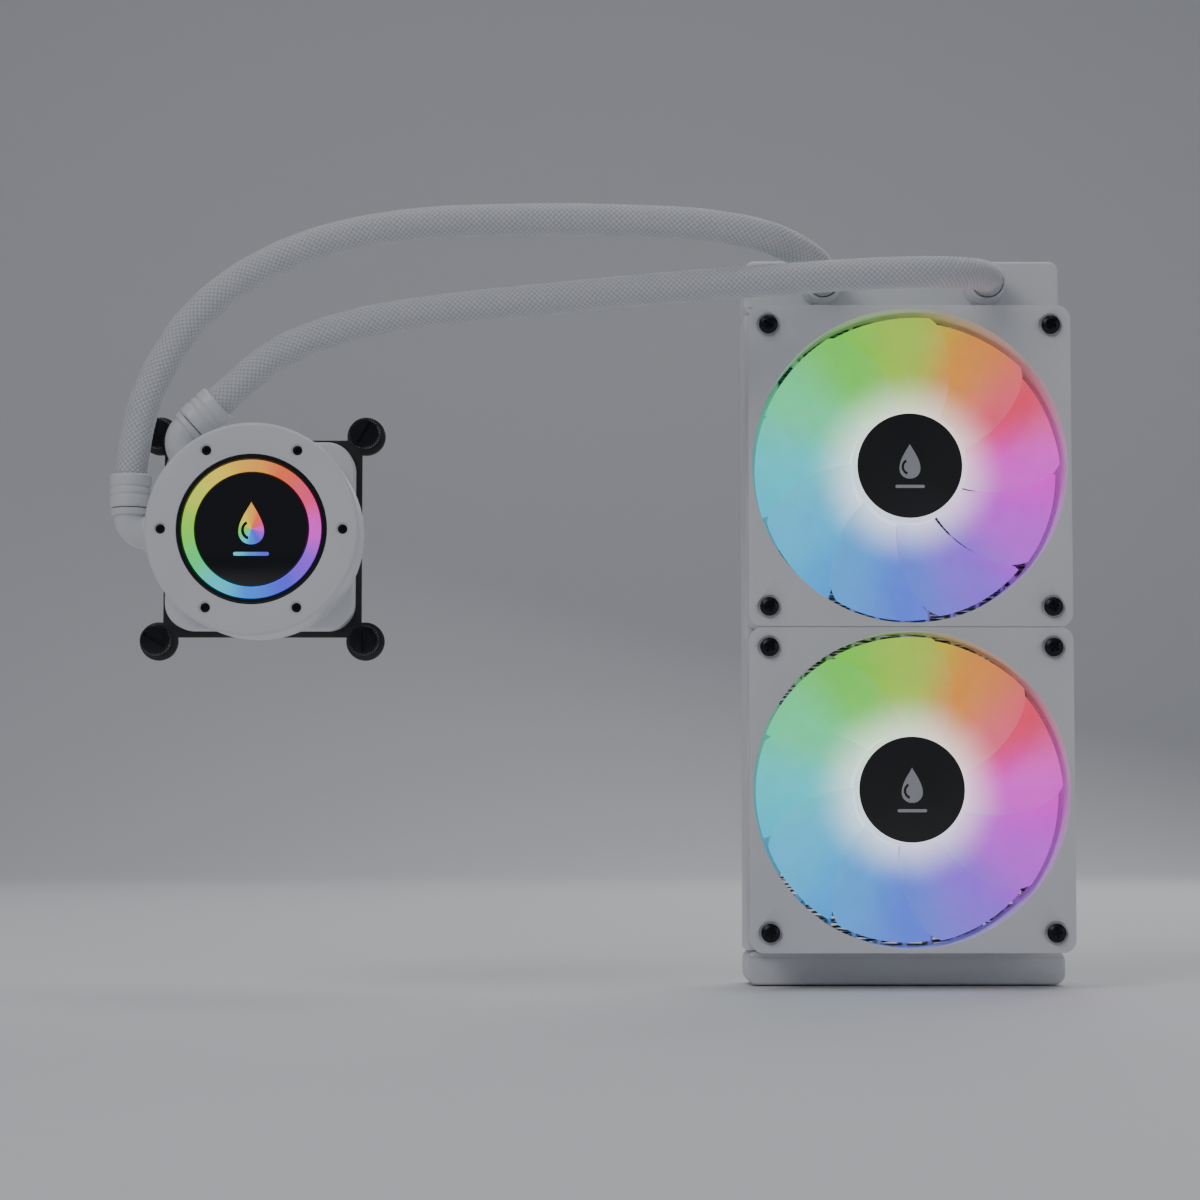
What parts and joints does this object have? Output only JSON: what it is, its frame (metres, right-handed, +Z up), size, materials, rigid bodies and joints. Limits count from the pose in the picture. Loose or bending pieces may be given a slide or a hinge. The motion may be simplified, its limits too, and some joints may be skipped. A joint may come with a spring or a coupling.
{
  "type": "liquid cooling radiator with fans and pump head",
  "caption": "Closed-loop liquid processor cooler: fin-and-tube radiator with two axial fans, two sleeved hoses and a round pump head with a lit dial.",
  "frame": {"origin": "centre of the radiator's rear mounting plane, midway between the two fans, where the case's screws hold it", "axes": "+Y out of the radiator's rear face, towards the case wall; +X to the right seen from the fans' side, away from the pump head; +Z up, towards the tank with the hose fittings"},
  "size_m": [0.3501, 0.1078, 0.2832],
  "materials": {
    "white_paint": "white powder coat, fine orange peel",
    "radiator_core": "white painted aluminium fins and tubes",
    "fill_plug": "black moulded plug",
    "hose_fitting": "white moulded plastic",
    "hose_collar": "white moulded plastic",
    "hose_sleeve": "white braided sleeve over a rubber hose",
    "fan_frame": "white moulded plastic, fine texture",
    "fan_rotor": "frosted translucent plastic, lit from the hub",
    "badge": null,
    "steel": "bare steel",
    "bearing": "sintered bronze",
    "coil": "enamelled copper windings on a laminated core",
    "circuit_board": "solder-masked board",
    "fan_screw": "black oxide",
    "pump_shell": "white moulded plastic, satin",
    "dial": "glossy black mirror",
    "light_ring": "frosted ring, lit from behind",
    "ceramic": "white ceramic",
    "impeller": "black moulded plastic over a ferrite magnet",
    "volute_plate": "white moulded plastic",
    "rubber": "black rubber",
    "copper": "machined copper",
    "bracket": "black painted steel",
    "thumbscrew": "black plated, knurled"
  },
  "bodies": {
    "root": {"radiator_top_tank": "white_paint", "radiator_bottom_tank": "white_paint", "left_side_rail": "white_paint", "right_side_rail": "white_paint", "radiator_core": "radiator_core", "fill_plug": "fill_plug", "outer_hose_fitting": "hose_fitting", "inner_hose_fitting": "hose_fitting", "outer_hose_radiator_collar": "hose_collar", "inner_hose_radiator_collar": "hose_collar", "outer_hose": "hose_sleeve", "inner_hose": "hose_sleeve", "upper_fan_frame": "fan_frame", "upper_fan_bearing": "bearing", "upper_fan_stator": "coil", "upper_fan_light_board": "circuit_board", "lower_fan_frame": "fan_frame", "lower_fan_bearing": "bearing", "lower_fan_stator": "coil", "lower_fan_light_board": "circuit_board", "fan_screw_1": "fan_screw", "fan_screw_2": "fan_screw", "fan_screw_3": "fan_screw", "fan_screw_4": "fan_screw", "fan_screw_5": "fan_screw", "fan_screw_6": "fan_screw", "fan_screw_7": "fan_screw", "fan_screw_8": "fan_screw", "pump_housing": "pump_shell", "pump_cover": "pump_shell", "pump_dial": "dial", "pump_light_ring": "light_ring", "pump_light_board": "circuit_board", "pump_stator": "coil", "pump_shaft": "ceramic", "pump_volute_plate": "volute_plate", "pump_seal": "rubber", "cold_plate": "copper", "mounting_bracket": "bracket", "mounting_spring_1": "steel", "mounting_spring_2": "steel", "mounting_spring_3": "steel", "mounting_spring_4": "steel"},
    "upper_fan_rotor": {"upper_fan_rotor": "fan_rotor", "upper_fan_badge": "badge", "upper_fan_magnet_ring": "steel", "upper_fan_shaft": "steel"},
    "lower_fan_rotor": {"lower_fan_rotor": "fan_rotor", "lower_fan_badge": "badge", "lower_fan_magnet_ring": "steel", "lower_fan_shaft": "steel"},
    "pump_impeller": {"pump_impeller": "impeller"},
    "outer_elbow": {"outer_elbow": "hose_fitting", "outer_hose_pump_collar": "hose_collar"},
    "inner_elbow": {"inner_elbow": "hose_fitting", "inner_hose_pump_collar": "hose_collar"},
    "mounting_screw_1": {"mounting_screw_1": "thumbscrew"},
    "mounting_screw_2": {"mounting_screw_2": "thumbscrew"},
    "mounting_screw_3": {"mounting_screw_3": "thumbscrew"},
    "mounting_screw_4": {"mounting_screw_4": "thumbscrew"}
  },
  "joints": [
    {"name": "upper_fan_spin", "type": "hinge", "parent": "root", "child": "upper_fan_rotor", "pos_m": [0, -0.0273, 0.06], "axis": [0, 1, 0], "continuous": true},
    {"name": "lower_fan_spin", "type": "hinge", "parent": "root", "child": "lower_fan_rotor", "pos_m": [0, -0.0273, -0.06], "axis": [0, 1, 0], "continuous": true},
    {"name": "pump_impeller_spin", "type": "hinge", "parent": "root", "child": "pump_impeller", "pos_m": [-0.238, -0.09, 0.0312], "axis": [0, 1, 0], "continuous": true},
    {"name": "outer_elbow_swivel", "type": "hinge", "parent": "root", "child": "outer_elbow", "pos_m": [-0.2828, -0.09, 0.0312], "axis": [1, 0, 0], "range_deg": [-8, 15], "deforming": ["outer_hose"]},
    {"name": "inner_elbow_swivel", "type": "hinge", "parent": "root", "child": "inner_elbow", "pos_m": [-0.26798, -0.086, 0.06449], "axis": [0.6691, 0, -0.7431], "range_deg": [-15, 15], "deforming": ["inner_hose"]},
    {"name": "mounting_screw_1_press", "type": "slide", "parent": "root", "child": "mounting_screw_1", "axis": [0, 1, 0], "range_m": [0, 0.003], "stiffness_N_per_m": 2000, "deforming": ["mounting_spring_1"]},
    {"name": "mounting_screw_2_press", "type": "slide", "parent": "root", "child": "mounting_screw_2", "axis": [0, 1, 0], "range_m": [0, 0.003], "stiffness_N_per_m": 2000, "deforming": ["mounting_spring_2"]},
    {"name": "mounting_screw_3_press", "type": "slide", "parent": "root", "child": "mounting_screw_3", "axis": [0, 1, 0], "range_m": [0, 0.003], "stiffness_N_per_m": 2000, "deforming": ["mounting_spring_3"]},
    {"name": "mounting_screw_4_press", "type": "slide", "parent": "root", "child": "mounting_screw_4", "axis": [0, 1, 0], "range_m": [0, 0.003], "stiffness_N_per_m": 2000, "deforming": ["mounting_spring_4"]}
  ]
}
